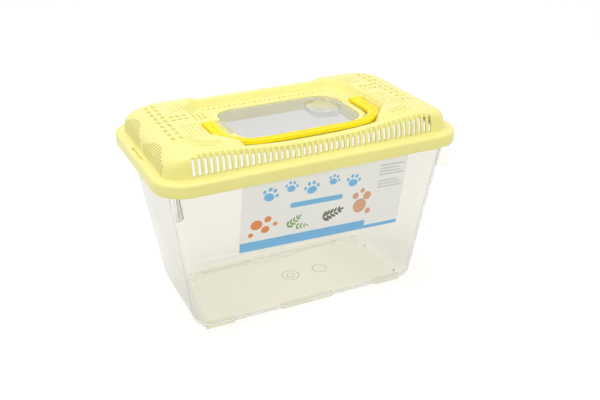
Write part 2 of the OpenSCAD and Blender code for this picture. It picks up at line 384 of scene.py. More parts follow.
def moulded(tree, shader, distance, **values):
    """Places the shared moulded surface in a material and feeds its roughness and bump."""
    surface = add(tree, "ShaderNodeGroup", node_tree=MOULDED)
    for name, value in values.items():
        surface.inputs[name.replace("_", " ")].default_value = value
    bump = add(tree, "ShaderNodeBump")
    bump.inputs["Strength"].default_value = 1.0
    bump.inputs["Distance"].default_value = distance
    feed(tree, surface.outputs["Height"], bump.inputs["Height"])
    feed(tree, bump.outputs["Normal"], shader.inputs["Normal"])
    feed(tree, surface.outputs["Roughness"], shader.inputs["Roughness"])
    return surface


def opaque_plastic(name, dark, light, roughness, glow, gloss):
    """Mottled plastic that lets a little light in under its surface."""
    material, tree, shader = new_material(name)
    shader.inputs["IOR"].default_value = 1.49
    shader.inputs["Specular IOR Level"].default_value = gloss
    shader.inputs["Subsurface Weight"].default_value = glow
    shader.inputs["Subsurface Radius"].default_value = (1.0, 0.8, 0.3)
    shader.inputs["Subsurface Scale"].default_value = 0.003
    surface = moulded(tree, shader, 0.0002, Grain_Scale=1400.0, Grain_Depth=0.12,
                      Wave_Scale=22.0, Wave_Depth=0.8,
                      Low_Roughness=roughness - 0.05, High_Roughness=roughness + 0.07)
    feed(tree, blend(tree, surface.outputs["Mottle"], dark, light), shader.inputs["Base Color"])
    return material


def build_floor_shade_group():
    """Mask of painted shade on the tank's floor: along its gate rings, and soft lines along its back and left
    edges.
    """
    group = bpy.data.node_groups.new("floor_painted_shade", "ShaderNodeTree")
    group.interface.new_socket("Mask", in_out="OUTPUT", socket_type="NodeSocketFloat")
    result = add(group, "NodeGroupOutput").inputs
    place = add(group, "ShaderNodeTexCoord").outputs["Object"]
    parts = add(group, "ShaderNodeSeparateXYZ")
    feed(group, place, parts.inputs[0])
    painted_shades = []
    for x, y, radius in GATE_RINGS:
        away = add(group, "ShaderNodeVectorMath", operation="DISTANCE")
        away.inputs[1].default_value = (x * MM, y * MM, FLOOR_TOP * MM)
        feed(group, place, away.inputs[0])
        ring = calculate(group, "COMPARE", away.outputs["Value"], radius * MM, RING_HALF_WIDTH * MM)
        painted_shades.append(calculate(group, "MULTIPLY", ring, 0.8))
    for axis, start, end in FLOOR_SHADE_LINES:
        line = ramp(group, parts.outputs[axis], start * MM, end * MM, smooth=True)
        painted_shades.append(calculate(group, "MULTIPLY", line, 0.35))
    total = painted_shades[0]
    for one_shade in painted_shades[1:]:
        total = calculate(group, "MAXIMUM", total, one_shade)
    shallow = ramp(group, parts.outputs["Z"], (FLOOR_TOP + 0.1) * MM, (FLOOR_TOP + 0.4) * MM, 1.0, 0.0)
    feed(group, calculate(group, "MULTIPLY", total, shallow), result["Mask"])
    return group


def tank_underside(tree, parts, tone):
    """The tank's tone with painted shade along the gate rings and the back and left edges of its floor, and
    its front feet darker and yellower in painted shade.
    """
    painted_shades = add(tree, "ShaderNodeGroup", node_tree=build_floor_shade_group())
    # Painted shade on the floor, along its gate rings and its back and left edges.
    shaded_floor_tone = blend(tree, painted_shades.outputs["Mask"], tone, (0.55, 0.53, 0.40))
    # Painted shade on the feet: darker and yellower at the front than at the back.
    behind = ramp(tree, parts.outputs["Y"], -10 * MM, 10 * MM)
    feet_painted_shade = blend(tree, behind, (0.76, 0.71, 0.36), (0.98, 0.965, 0.86))
    above = ramp(tree, parts.outputs["Z"], (FOOT_HEIGHT - 0.15) * MM, (FOOT_HEIGHT - 0.05) * MM)
    return blend(tree, above, feet_painted_shade, shaded_floor_tone)


def clear_plastic(name, deep, clear, level, roughness, haze, clearness, edge_shade, underside=None):
    """Clear plastic: hazier below a level and with a lighter tint there that is partly painted light, painted
    shade where it is seen edge on, little shade.
    """
    material, tree, shader = new_material(name)
    shader.inputs["IOR"].default_value = 1.49
    shader.inputs["Transmission Weight"].default_value = clearness
    surface = moulded(tree, shader, 0.0003, Grain_Scale=300.0, Grain_Depth=0.02,
                      Wave_Scale=14.0, Wave_Depth=0.5,
                      Low_Roughness=roughness * 0.7, High_Roughness=roughness * 1.4)
    parts = add(tree, "ShaderNodeSeparateXYZ")
    feed(tree, add(tree, "ShaderNodeTexCoord").outputs["Object"], parts.inputs[0])
    above = ramp(tree, parts.outputs["Z"], level[0] * MM, level[1] * MM, smooth=True)
    frost = ramp(tree, above, 0.0, 1.0, haze, 0.0)
    rough = calculate(tree, "ADD", surface.outputs["Roughness"], frost)
    feed(tree, rough, shader.inputs["Roughness"])
    # Painted light in the tint below the level: it brightens the tank's floor, together with the plastic's
    # own cream, and whitens the hatch's finger well.
    tone = blend(tree, above, deep, clear)
    if underside:
        tone = underside(tree, parts, tone)
    # Painted shade: the tint darkens where the wall is seen edge on, standing in for the dark surroundings
    # that a clear edge refracts.
    facing = add(tree, "ShaderNodeLayerWeight")
    facing.inputs["Blend"].default_value = 0.5
    edge = ramp(tree, facing.outputs["Facing"], 0.53, 1.0)
    feed(tree, blend(tree, edge, tone, edge_shade), shader.inputs["Base Color"])
    path = add(tree, "ShaderNodeLightPath").outputs
    unseen = calculate(tree, "MAXIMUM", path["Is Shadow Ray"], path["Is Diffuse Ray"])
    feed(tree, ramp(tree, unseen, 0.0, 1.0, 1.0, 0.12), shader.inputs["Alpha"])
    return material


def printed_film(name, ink, worn):
    """Ink on the label: a slightly uneven colour under a satin film."""
    material, tree, shader = new_material(name)
    surface = moulded(tree, shader, 0.00005, Grain_Scale=2600.0, Grain_Depth=0.3, Wave_Scale=60.0,
                      Wave_Depth=0.5, Low_Roughness=0.34, High_Roughness=0.5)
    feed(tree, blend(tree, surface.outputs["Mottle"], ink, worn), shader.inputs["Base Color"])
    return material


PALE_YELLOW = opaque_plastic("pale_yellow_moulding", dark=(0.91, 0.835, 0.29), light=(0.94, 0.875, 0.33),
                             roughness=0.36, glow=0.3, gloss=0.4)
BRIGHT_YELLOW = opaque_plastic("bright_yellow_moulding", dark=(0.98, 0.79, 0.008),
                               light=(1.0, 0.83, 0.012), roughness=0.3, glow=0.08, gloss=0.25)
# The tank's floor below the level: a brighter, creamier tint, partly the plastic's own cream and partly
# painted light for the yellow light through the lid and against the shadow under it.
TANK_CLEAR = clear_plastic("tank_clear", deep=(0.99, 0.975, 0.86), clear=(0.905, 0.895, 0.85),
                           level=(4.5, 6.5), roughness=0.035, haze=0.14, clearness=0.94,
                           edge_shade=(0.36, 0.34, 0.26), underside=tank_underside)
# The hatch's finger well below the level: a whiter tint, which is painted light.
HATCH_CLEAR = clear_plastic("hatch_clear", deep=(1.0, 1.0, 0.99), clear=(0.80, 0.80, 0.81),
                            level=(144.4, 145.4), roughness=0.04, haze=0.5, clearness=0.88,
                            edge_shade=(0.22, 0.22, 0.23))
LABEL_FILM = printed_film("label_film", (0.93, 0.92, 0.85), (0.96, 0.95, 0.88))
INKS = {
    "sky": printed_film("sky_ink", (0.19, 0.50, 0.78), (0.22, 0.54, 0.82)),
    "orange": printed_film("orange_ink", (0.80, 0.22, 0.05), (0.85, 0.34, 0.12)),
    "green": printed_film("green_ink", (0.16, 0.33, 0.05), (0.26, 0.44, 0.10)),
    "olive": printed_film("olive_ink", (0.13, 0.14, 0.08), (0.22, 0.22, 0.13)),
    "peach": printed_film("peach_ink", (0.72, 0.36, 0.19), (0.80, 0.48, 0.30)),
    "slate": printed_film("slate_ink", (0.12, 0.13, 0.17), (0.20, 0.21, 0.25)),
}


# ---- Tank ----

def tank_rings(bm, inset, top):
    """Sections of the tapered body, drawn in from its outside by an inset."""
    edge = FLOOR_EDGE - inset
    rings = []
    for step in range(EDGE_STEPS + 1):
        angle = math.radians(step * EDGE_SWEEP / EDGE_STEPS)
        away = inset + edge * (1 - math.sin(angle))
        height = FOOT_HEIGHT + inset + edge * (1 - math.cos(angle))
        rings.append(centred_ring(bm, BASE_HALF[0] - away, BASE_HALF[1] - away,
                                  BASE_CORNER - away, height))
    for height in (TANK_HEIGHT - RIM_BAND, top):
        rings.append(centred_ring(bm, RIM_HALF[0] - inset, RIM_HALF[1] - inset,
                                  RIM_CORNER - inset, height))
    return rings


def tank_body(name, inset, top):
    return lofted(name, lambda bm: tank_rings(bm, inset, top))


def corner_ribs(bm):
    """Upright rib on each corner, which keeps nested tanks from jamming."""
    reach = RIM_CORNER + RIB_REACH
    half = RIB_THICKNESS / 2
    for side_x in (-1, 1):
        for side_y in (-1, 1):
            rings = [rounded_ring(bm, 0, reach - draw, -half, half, 0.5, 0.5, z, 2)
                     for z, draw in ((RIB_FOOT, 2.2), (RIB_FOOT + 0.7, 0.8),
                                     (RIB_FOOT + 2.4, 0), (TANK_HEIGHT - 1, 0))]
            loft(bm, rings)
            made = list({v for ring in rings for edge in ring for v in edge.verts})
            turn = math.atan2(side_y * math.sin(RIB_TURN), side_x * math.cos(RIB_TURN))
            place = Vector((side_x * (RIM_HALF[0] - RIM_CORNER), side_y * (RIM_HALF[1] - RIM_CORNER), 0))
            bmesh.ops.rotate(bm, verts=made, matrix=Matrix.Rotation(turn, 3, "Z"), cent=(0, 0, 0))
            bmesh.ops.translate(bm, verts=made, vec=place)
    tidy_normals(bm)


def foot_rails(bm):
    """Rails under the floor's front and back edges, which the tank stands on."""
    rail_y = BASE_HALF[1] - FLOOR_EDGE + FOOT_OUT
    for side in (-1, 1):
        for middle, length in FOOT_RAILS:
            rings = []
            for z, draw in ((0, FOOT_BEVEL), (FOOT_BEVEL, 0), (FOOT_HEIGHT + 0.8, 0)):
                half_x, half_y = length / 2 - draw, FOOT_HALF_WIDTH - draw
                rings.append(rounded_ring(bm, middle - half_x, middle + half_x,
                                          side * rail_y - half_y, side * rail_y + half_y,
                                          FOOT_CORNER - draw, FOOT_CORNER - draw, z, 4))
            loft(bm, rings)
    tidy_normals(bm)


def floor_dots(bm):
    """Ejector marks in the floor's upper side."""
    for x, y in FLOOR_DOTS:
        bmesh.ops.create_cone(bm, cap_ends=True, segments=16, radius1=1.0, radius2=1.0, depth=1.4,
                              matrix=Matrix.Translation((x, y, FLOOR_TOP)))


def make_tank():
    tank = tank_body("tank_shell", 0, TANK_HEIGHT - 0.02)
    combine(tank, solid("corner_ribs", corner_ribs), "UNION")
    combine(tank, solid("foot_rails", foot_rails), "UNION")
    combine(tank, tank_body("tank_inside", TANK_WALL, TANK_HEIGHT + 1), "DIFFERENCE")
    combine(tank, solid("floor_dots", floor_dots), "DIFFERENCE")
    soften(tank, 30)
    return finish_piece(tank, "tank", TANK_CLEAR, ["tank"])


# ---- Lid ----

def recess_edge(y):
    """Half length of the handle recess at a distance from the middle line."""
    return RECESS_X + 0.6 - 16.0 * smoothstep(26, 54, abs(y)) ** 0.8


def sink(x, y, grow=0.0):
    """How far the lid's top lies below the level of the end pads, with the recess drawn out by grow."""
    edge = recess_edge(y) + grow
    floor = RECESS_DEPTH
    if y > 0:
        ridge = smoothstep(RIDGE_FRONT - 3.5 + grow, RIDGE_FRONT + 0.5 + grow, y)
        floor -= (RECESS_DEPTH - RIDGE_DROP) * ridge
    else:
        floor -= 1.6 * smoothstep(50.5, 53, -y)
    width = 2.6 + 3.0 * smoothstep(20, 40, y)
    pocket = 1 - smoothstep(edge, edge + width, abs(x))
    if y > 0:
        return floor * pocket
    saddle = 1 - smoothstep(12, 96, abs(x))
    along_front = smoothstep(46, 53, -y)
    return floor * ((1 - along_front) * pocket + along_front * saddle)


def ledge_section(angle):
    """Section at an angle round the edge between the skirt and the ledge."""
    draw = LEDGE_ROUND * (1 - math.cos(math.radians(angle)))
    level = LEDGE_TOP - LEDGE_ROUND + LEDGE_ROUND * math.sin(math.radians(angle))
    return LID_HALF[0] - draw, LID_HALF[1] - draw, SKIRT_CORNER - draw, level


# Half length, half depth, corner radius and level of each section of the lid's outside
SKIRT_SECTIONS = [(*LID_HALF, SKIRT_CORNER, SKIRT_FOOT)] + [ledge_section(angle) for angle in (0, 30, 60, 90)]
DOME_SECTIONS = [
    (112.6, 60.9, 16.2, LEDGE_TOP), (111.6, 59.9, 15.4, LEDGE_TOP + 0.35),
    (*DOME_HALF, DOME_CORNER, WALL_FOOT), (111.0, 59.3, 15.0, 138.6),
    (110.7, 59.0, 15.0, 141.7), (109.8, 58.6, 15.0, 144.2),
    (108.0, 58.0, 15.2, 146.5), (104.8, 57.2, 15.6, 148.4), (100.0, 56.0, 16.2, 149.9),
    (93.0, 53.8, 16.8, 151.0), (82.0, 49.5, 17.0, 151.65)]
LID_SECTIONS = SKIRT_SECTIONS + DOME_SECTIONS


def lining_sections(wall):
    """Sections of the lid's inside: each one drawn in square to the outside."""
    sections = [(LID_HALF[0] - wall, LID_HALF[1] - wall, SKIRT_CORNER - wall, z)
                for z in (SKIRT_FOOT - 1, LEDGE_TOP - wall)]
    dome = [part for part in LID_SECTIONS if part[3] > LEDGE_TOP + 1]
    sections.append((dome[0][0] - wall, dome[0][1] - wall, dome[0][2] - wall, LEDGE_TOP - wall))
    for before, part in zip(dome, dome[1:]):
        rise, run = part[3] - before[3], before[0] - part[0]
        slope = math.hypot(rise, run)
        draw = wall * rise / slope
        sections.append((part[0] - draw, part[1] - draw, part[2] - draw, part[3] - wall * run / slope))
    return sections


def lid_solid(name, sections, grow):
    """Closed solid from its sections, with the handle recess sunk into its top."""
    def draw(bm):
        loft(bm, [centred_ring(bm, *section, segments=10) for section in sections])
        tidy_normals(bm)
        slice_up(bm, [x * LID_STEP for x in range(-62, 63)], "x")
        slice_up(bm, [y * LID_STEP for y in range(-35, 36)], "y")
        for v in bm.verts:
            if v.co.z > WALL_FOOT:
                share = (v.co.z - WALL_FOOT) / (PAD_TOP - WALL_FOOT)
                v.co.z -= share * sink(v.co.x, v.co.y, grow)
    return solid(name, draw)


def lid_shell():
    shell = lid_solid("lid_shell", LID_SECTIONS, 0)
    combine(shell, lid_solid("lid_inside", lining_sections(LID_WALL), RECESS_GROWTH), "DIFFERENCE")
    return shell


def hatch_ring(bm, draw, z, segments=8):
    """Outline of the hatch's place, drawn in by some amount."""
    return rounded_ring(bm, -HATCH_HALF + draw, HATCH_HALF - draw, HATCH_FRONT + draw, HATCH_BACK - draw,
                        HATCH_CORNERS[0] - draw, HATCH_CORNERS[1] - draw, z, segments)


def lip_rings(bm):
    """Raised lip round the hatch, as a block before the opening is cut."""
    return [rounded_ring(bm, LIP_ENDS[0] + draw, LIP_ENDS[1] - draw, HATCH_FRONT - 1.6 + draw,
                         HATCH_BACK + 3.4 - draw, LIP_CORNER - draw, LIP_CORNER - draw, z)
            for z, draw in ((RECESS_FLOOR - 1.0, 0), (LIP_TOP - 0.9, 0),
                            (LIP_TOP - 0.3, 0.25), (LIP_TOP, 0.9))]


def collar_rings(bm):
    """Collar that hangs round the opening, as a block before the opening is cut."""
    return [hatch_ring(bm, -0.3, z) for z in (RECESS_FLOOR - COLLAR_REACH, RECESS_FLOOR - 0.7)]


def opening_rings(bm):
    """The way through, and the step above it that the pane rests on."""
    seat = PANE_TOP - PANE
    return [hatch_ring(bm, draw, z)
            for draw, z in ((PANE_SEAT, RECESS_FLOOR - COLLAR_REACH - 1), (PANE_SEAT, seat),
                            (0, seat), (0, LIP_TOP + 1))]


def hinge_room(bm):
    """Room for the hatch's barrel and leaf in the lip."""
    half = HINGE_LENGTH / 2 + 0.3
    box_into(bm, HINGE[0] - 1.85, HINGE[0] + LEAF_LENGTH, HINGE[1] - half, HINGE[1] + half,
             HINGE[2] - 0.9, LIP_TOP + 2)


def pivot_bores(bm):
    for end in (-1, 1):
        rod_into(bm, (end * (RECESS_X - 1), 0, HANDLE_AXIS_Z), (end, 0, 0), 6, PIVOT_PIN + PIVOT_PLAY)


def slot_top(x, side):
    """Level that a side slot at distance x from the middle reaches."""
    middle = 144.6 if side < 0 else 147.6
    return middle + (150.2 - middle) * smoothstep(14, 92, abs(x))


def slot_box(bm, x, y, z0, z1, wide, deep):
    """Box for one slot or hole, from its middle, its levels and its two widths."""
    box_into(bm, x - wide / 2, x + wide / 2, y - deep / 2, y + deep / 2, z0, z1)


def section_at(level, part):
    """Half length (0) or half depth (1) of the lid's outside at a level, before the recess is sunk."""
    for before, after in zip(LID_SECTIONS, LID_SECTIONS[1:]):
        if before[3] <= level <= after[3] and after[3] > before[3]:
            share = (level - before[3]) / (after[3] - before[3])
            return before[part] + share * (after[part] - before[part])
    return LID_SECTIONS[-1][part]


def top_level(x, y):
    """Level of the lid's upper side at a place on it."""
    flat = DOME_SECTIONS[-1][3]
    for before, after in zip(DOME_SECTIONS[4:], DOME_SECTIONS[5:]):
        if after[0] <= abs(x) <= before[0]:
            flat = before[3] + (after[3] - before[3]) * (before[0] - abs(x)) / (before[0] - after[0])
    return flat - (flat - WALL_FOOT) / (PAD_TOP - WALL_FOOT) * sink(x, y)


def slot_places():
    """Distance from the middle, side and level of the top of each side slot."""
    for side in (-1, 1):
        for i in range(SLOT_COUNT):
            x = (i - (SLOT_COUNT - 1) / 2) * SLOT_PITCH
            yield x, side, slot_top(x, side)


def side_slots(bm):
    """Upright slots through both long walls, up to their blind heads."""
    for x, side, top in slot_places():
        slot_box(bm, x, side * 58, LEDGE_TOP + 0.9, top - SLOT_HEAD, SLOT_WIDTH, 12)


def slot_heads(bm, step):
    """One of the steps in which the blind heads follow the wall and stay inside it."""
    rise = SLOT_HEAD / HEAD_STEPS
    deep = 6
    for x, side, top in slot_places():
        share = 1 - sink(x, side * 57.0) / (PAD_TOP - WALL_FOOT)
        low = top - SLOT_HEAD + step * rise
        reach = section_at(WALL_FOOT + (low - WALL_FOOT) / share, 1)
        slot_box(bm, x, side * (reach - HEAD_DEPTH + deep / 2), low - 0.05, low + rise, SLOT_WIDTH, deep)


def end_slots(bm):
    """On both end walls, two groups of upright slots under their arches and the latch slot."""
    for end in (-1, 1):
        for group in (-1, 1):
            for i in range(END_SLOTS):
                share = (i - 5.5) / 5.5
                y = group * (26.5 + share * 20.5)
                slot_box(bm, end * 110, y, LEDGE_TOP + 1.6, 148.6 - 5.2 * share ** 2, 16, 1.5)
        slot_box(bm, end * 114.4, 0, LEDGE_TOP - 1.3, LEDGE_TOP + CLEAR_ABOVE, 2, LATCH_SLOT)


def blind_hole(bm, x, y, wide, deep):
    """Box that cuts most of the way through the lid's top."""
    level = top_level(x, y)
    slot_box(bm, x, y, level - HOLE_DEPTH, level + 2.5, wide, deep)


def pad_holes(bm):
    """Columns and rows of holes in the end pads, a cluster by the hinge and the row behind the hatch."""
    for end in (-1, 1):
        for column in (94.2, 88.8):
            for i in range(9):
                y = 45.5 - i * 8.6
                blind_hole(bm, end * column, y - 1.5, 2.8, 3.2)
                blind_hole(bm, end * column, y + 1.5, 1.6, 1.6)
        for x in (83.4, 78.6, 73.8):
            for y in (16.0, 9.2):
                blind_hole(bm, end * x, y, 2.8, 3.0)
    for i in range(4):
        for k in range(3):
            blind_hole(bm, -55.0 - i * 3.7, 30.5 - k * 4.6 - i * 1.2, 1.7, 1.9)
    for i in range(-12, 13):
        blind_hole(bm, i * SLOT_PITCH, 37.8, 1.7, 1.9)


def pad_dimples(bm):
    """Blind dimples of the two fine patches on each pad, which don't reach through."""
    for end in (-1, 1):
        for first_x, first_y, rows in ((69.5, -4.5, 8), (66.5, 40.5, 5)):
            for i in range(5):
                for k in range(rows):
                    slot_box(bm, end * (first_x + i * DIMPLE_PITCH[0]), first_y - k * DIMPLE_PITCH[1],
                             PAD_TOP - DIMPLE_DEPTH, PAD_TOP + CLEAR_ABOVE, DIMPLE_SIZE, DIMPLE_SIZE)


def arc_groove(bm, centre, radius, start, end, wide, z0, z1, steps=10):
    """Bar of square section bent along an arc, to cut a groove."""
    flat = bmesh.ops.create_grid(bm, x_segments=steps, y_segments=1, size=0.5)["verts"]
    for v in flat:
        angle = start + (end - start) * (v.co.x + 0.5)
        reach = radius + v.co.y * wide
        v.co = (centre[0] + reach * math.cos(angle), centre[1] + reach * math.sin(angle), z0)
    raise_up(bm, list({f for v in flat for f in v.link_faces}), z1 - z0)


def pad_grooves(bm):
    """Shallow grooves that run round the front corner of each pad."""
    for end in (-1, 1):
        start = math.pi if end < 0 else math.pi * 1.5
        for radius in GROOVE_RADII:
            arc_groove(bm, (end * 66.0, -24.0), radius, start, start + math.pi / 2, GROOVE_WIDTH,
                       PAD_TOP - GROOVE_DEPTH, PAD_TOP + CLEAR_ABOVE)
    tidy_normals(bm)


def make_lid():
    lid = lid_shell()
    combine(lid, lofted("hatch_lip", lip_rings), "UNION")
    combine(lid, lofted("collar", collar_rings), "UNION")
    combine(lid, lofted("opening", opening_rings), "DIFFERENCE")
    for draw in (hinge_room, pivot_bores, side_slots, end_slots, pad_holes, pad_dimples, pad_grooves):
        combine(lid, solid(draw.__name__, draw), "DIFFERENCE")
    for step in range(HEAD_STEPS):
        combine(lid, solid("slot_heads", lambda bm: slot_heads(bm, step)), "DIFFERENCE")
    soften(lid, 32)
    return finish_piece(lid, "lid", PALE_YELLOW, ["lid"])


# ---- Hatch ----

def pane_rings(bm):
    """The pane, with both its edges slightly drawn in."""
    return [hatch_ring(bm, PANE_GAP + draw, z)
            for draw, z in ((0.5, PANE_UNDER), (0, PANE_UNDER + 0.4), (0, PANE_TOP - 0.5), (0.5, PANE_TOP))]


def well_solid(name, wall, head):
    """Finger well with sloping sides, drawn in and raised by its wall."""
    foot = PANE_TOP - WELL_DEPTH + wall
    return lofted(name, lambda bm: [
        rounded_ring(bm, WELL[0] + wall + slope, WELL[1] - wall - slope * 0.6,
                     WELL[2] + wall + slope, WELL[3] - wall - slope,
                     WELL_CORNERS[0] - wall, WELL_CORNERS[1] - wall, z, 6)
        for z, slope in ((foot, 3.0), (foot + 1.2, 1.9), (head, 0.0))])


def hinge_leaf(bm):
    half = HINGE_LENGTH / 2
    box_into(bm, HINGE[0], HINGE[0] + LEAF_LENGTH, HINGE[1] - half, HINGE[1] + half, PANE_UNDER, PANE_TOP)


def hinge_rod(bm, beyond, radius):
    """Rod on the hinge's axis that reaches some way beyond the leaf at both ends."""
    length = HINGE_LENGTH + 2 * beyond
    rod_into(bm, (HINGE[0], HINGE[1] - length / 2, HINGE[2]), (0, 1, 0), length, radius)


def make_hatch():
    hatch = lofted("hatch_pane", pane_rings)
    combine(hatch, well_solid("well_outside", 0, PANE_TOP - 0.2), "UNION")
    combine(hatch, solid("hinge_leaf", hinge_leaf), "UNION")
    for name, beyond, radius in (("hinge_barrel", 0, HINGE_BARREL),
                                 ("hinge_pins", HINGE_PIN_LENGTH, HINGE_PIN)):
        combine(hatch, solid(name, lambda bm: hinge_rod(bm, beyond, radius)), "UNION")
    combine(hatch, well_solid("well_inside", WELL_WALL, PANE_TOP + 1), "DIFFERENCE")
    soften(hatch, 30)
    return finish_piece(hatch, "hatch", HATCH_CLEAR, ["hatch"])


# ---- Handle ----

# Right half of the outline, from the arm's end to the middle of the grip and back
HANDLE_OUTER = [(ARM_OUTER, 0), (ARM_OUTER, -27), (ARM_OUTER - 1.6, -32), (60, -37.4), (53, -43.6),
                (46, -HANDLE_REACH + 3.4), (36, -HANDLE_REACH + 1.4), (20, -HANDLE_REACH + 0.4),
                (0, -HANDLE_REACH)]
HANDLE_INNER = [(0, -HANDLE_REACH + GRIP_WIDTH), (32, -HANDLE_REACH + GRIP_WIDTH), (43, -42.3),
                (50, -37.5), (ARM_INNER - 1.2, -31), (ARM_INNER, -27), (ARM_INNER, 0)]
GROOVE_PATH = [(60.6, -8), (60.6, -27), (59.2, -32.4), (55.6, -37.4), (48.6, -42.8), (44.4, -44.9),
               (34, -46.2), (18, -46.9), (0, -47.3)]


def mirrored(points):
    """The same points on the left side, in the opposite order."""
    return [(-x, y) for x, y in reversed(points)]


def handle_bow(bm):
    """Flat bow of the handle between its two arms' ends."""
    outline = HANDLE_OUTER[:-1] + mirrored(HANDLE_OUTER) + mirrored(HANDLE_INNER) + HANDLE_INNER[1:]
    under = HANDLE_AXIS_Z - HANDLE_THICK / 2
    bow = bm.faces.new([bm.verts.new((x, y, under)) for x, y in outline])
    raise_up(bm, [bow], HANDLE_THICK)
    tidy_normals(bm)


def grip_groove(bm):
    """Shallow groove that follows the middle of the grip's top from one arm to the other."""
    path = GROOVE_PATH + mirrored(GROOVE_PATH[:-1])
    steps = len(path) - 1
    flat = bmesh.ops.create_grid(bm, x_segments=steps, y_segments=1, size=0.5)["verts"]
    for v in flat:
        place = round((v.co.x + 0.5) * steps)
        here = Vector(path[place])
        along = (Vector(path[min(place + 1, steps)]) - Vector(path[max(place - 1, 0)])).normalized()
        side = Vector((-along.y, along.x)) * v.co.y * GROOVE_WIDTH
        v.co = (here.x + side.x, here.y + side.y, HANDLE_AXIS_Z + HANDLE_THICK / 2 - GRIP_GROOVE)
    raise_up(bm, bm.faces[:], CLEAR_ABOVE)
    tidy_normals(bm)


def arm_rod(bm, end, start, length, radius, segments=24):
    """Rod on the pivots' axis, from a distance from the middle outwards."""
    rod_into(bm, (end * start, 0, HANDLE_AXIS_Z), (end, 0, 0), length, radius, segments)


def make_handle():
    handle = solid("handle_grip", handle_bow)
    round_edges(handle, 0.9, 50, 3)
    combine(handle, solid("grip_groove", grip_groove), "DIFFERENCE")
    boss = (ARM_INNER + 0.05, ARM_OUTER - ARM_INNER - 0.1, HANDLE_THICK / 2 + 0.3, 32)
    pivot = (ARM_OUTER - 1, PIVOT_LENGTH + 1, PIVOT_PIN)
    for end in (-1, 1):
        for name, rod in (("boss", boss), ("pivot", pivot)):
            combine(handle, solid(name, lambda bm: arm_rod(bm, end, *rod)), "UNION")
    soften(handle, 40)
    return finish_piece(handle, "handle", BRIGHT_YELLOW, ["handle"])


# ---- Label print ----

LABEL_FOOT_Y = BASE_HALF[1] - FLOOR_EDGE * (1 - math.sin(math.radians(EDGE_SWEEP)))
LABEL_FOOT_Z = FOOT_HEIGHT + FLOOR_EDGE * (1 - math.cos(math.radians(EDGE_SWEEP)))
WALL_TILT = math.atan((RIM_HALF[1] - LABEL_FOOT_Y) / (TANK_HEIGHT - RIM_BAND - LABEL_FOOT_Z))
LABEL_RISE = (TANK_HEIGHT - LABEL_DROP - LABEL_FOOT_Z) / math.cos(WALL_TILT) - LABEL_SIZE[1] / 2


def label_place():
    """From the label's own plane, u along it, v up it, to the tank's front wall."""
    foot = Matrix.Translation((0, -LABEL_FOOT_Y, LABEL_FOOT_Z))
    wall = foot @ Matrix.Rotation(math.pi / 2 + WALL_TILT, 4, "X")
    shift = Matrix.Translation((LABEL_SHIFT, LABEL_RISE, LABEL_SKIN))
    return wall @ shift @ Matrix.Rotation(-LABEL_TURN, 4, "Z")


def spot(bm, u, v, wide, tall, turn=0.0, segments=20, point=0.0):
    """Filled round patch; with point above 0 both its ends are drawn out to tips, as on a leaf."""
    disc = bmesh.ops.create_circle(bm, cap_ends=True, segments=segments, radius=1)["verts"]
    for vert in disc:
        vert.co.y *= 1 - point * abs(vert.co.x) ** 3
    place = (Matrix.Translation((u, v, PRINT_LIFT)) @ Matrix.Rotation(turn, 4, "Z")
             @ Matrix.Diagonal((wide / 2, tall / 2, 1, 1)))
    bmesh.ops.transform(bm, matrix=place, verts=disc)


def bar(bm, u0, u1, v0, v1, radius):
    """Filled rounded bar."""
    ring = rounded_ring(bm, u0, u1, v0, v1, radius, radius, PRINT_LIFT, 4)
    bmesh.ops.edgeloop_fill(bm, edges=ring)


def paw(bm, u, v, size, turn):
    """Paw print: one pad and four toes."""
    spin = Matrix.Rotation(turn, 2)
    spot(bm, u, v, size * 0.62, size * 0.5, turn)
    for x, y, toe in ((-0.40, 0.22, 0.19), (-0.15, 0.46, 0.21), (0.15, 0.46, 0.21), (0.40, 0.22, 0.19)):
        shift = spin @ Vector((x * size, y * size))
        spot(bm, u + shift.x, v + shift.y, size * toe, size * toe * 1.3, turn, 14)


def sprig(bm, u, v, length, turn, leaves):
    """Row of leaf pairs that shrink towards the tip."""
    spin = Matrix.Rotation(turn, 2)
    for i in range(leaves):
        share = i / leaves
        size = length * 0.42 * (1 - 0.45 * share)
        for side in (-1, 1):
            lean = math.radians(48) * side
            shift = spin @ Vector((length * share + size * 0.42, side * size * 0.36))
            spot(bm, u + shift.x, v + shift.y, size, size * 0.40, turn + lean, 16, 0.75)
    shift = spin @ Vector((length * 1.02, 0))
    spot(bm, u + shift.x, v + shift.y, length * 0.3, length * 0.12, turn, 16, 0.75)


def print_piece(ink, draw):
    """One colour of the print, as thin patches that lie on the label."""
    def draw_in_place(bm):
        draw(bm)
        bmesh.ops.transform(bm, matrix=label_place(), verts=bm.verts[:])
    return finish_piece(solid("label_print_" + ink, draw_in_place), "tank", INKS[ink])


def spots(bm, places, roundness):
    """Round spots from their middles and widths."""
    for u, v, size in places:
        spot(bm, u, v, size, size * roundness)


def sky_print(bm):
    """Band along the label's lower edge, row of paw prints and a short bar under them."""
    half_u, half_v = LABEL_SIZE[0] / 2, LABEL_SIZE[1] / 2
    bar(bm, -half_u + 0.2, half_u - 0.2, -half_v + 0.2, -half_v + 3.2, 1.0)
    bar(bm, -half_u + 0.2, 36, -half_v + 3.2, -half_v + 8.2, 1.0)
    for i, size in enumerate((13, 10.5, 12.5, 10, 12)):
        paw(bm, -45 + i * 16.5, 15.5 + (2.5 if i % 2 else -1.5), size, math.radians(-24 + (i % 3) * 16))
    bar(bm, -28, 14, 1.5, 5.8, 2.1)


def orange_print(bm):
    spots(bm, ((-53, -8, 9), (-44.5, -4.5, 5.5), (-46, -13, 6.5), (-57, -16, 4), (-38.5, -9.5, 3.6)), 0.92)


def green_print(bm):
    sprig(bm, -29, -14.5, 12, math.radians(38), 4)
    sprig(bm, -22, -15.5, 9, math.radians(-4), 3)


def olive_print(bm):
    sprig(bm, -1, -13, 16, math.radians(20), 5)


